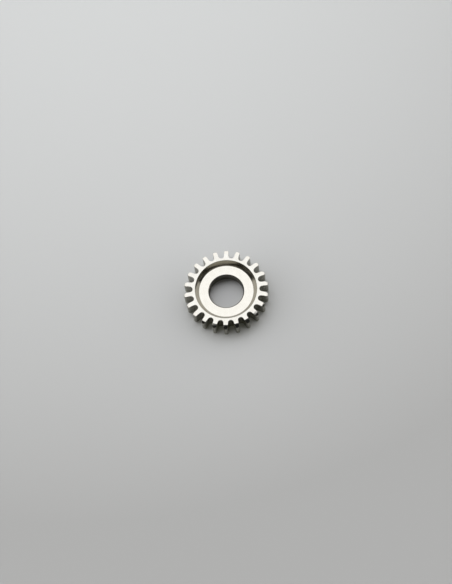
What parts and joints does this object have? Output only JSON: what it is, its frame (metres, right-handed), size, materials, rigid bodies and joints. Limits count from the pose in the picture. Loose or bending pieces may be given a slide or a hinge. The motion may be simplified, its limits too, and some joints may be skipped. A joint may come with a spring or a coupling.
{
  "type": "watch crown wheel",
  "caption": "Flat toothed steel wheel with a tapered round recess in its top face and a plain bore, for the winding train of a hand-wound wristwatch.",
  "frame": {"origin": "centre of the wheel's underside, on the axis of the bore", "axes": "+Z along the bore towards the recessed top face, +X through the middle of a tooth"},
  "size_m": [0.0048, 0.0048, 0.001],
  "materials": {
    "hardened_steel": "hardened carbon steel: flat-lapped top face, turned recess and bevels, hobbed tooth flanks"
  },
  "bodies": {
    "root": {"crown_wheel": "hardened_steel"}
  },
  "joints": []
}
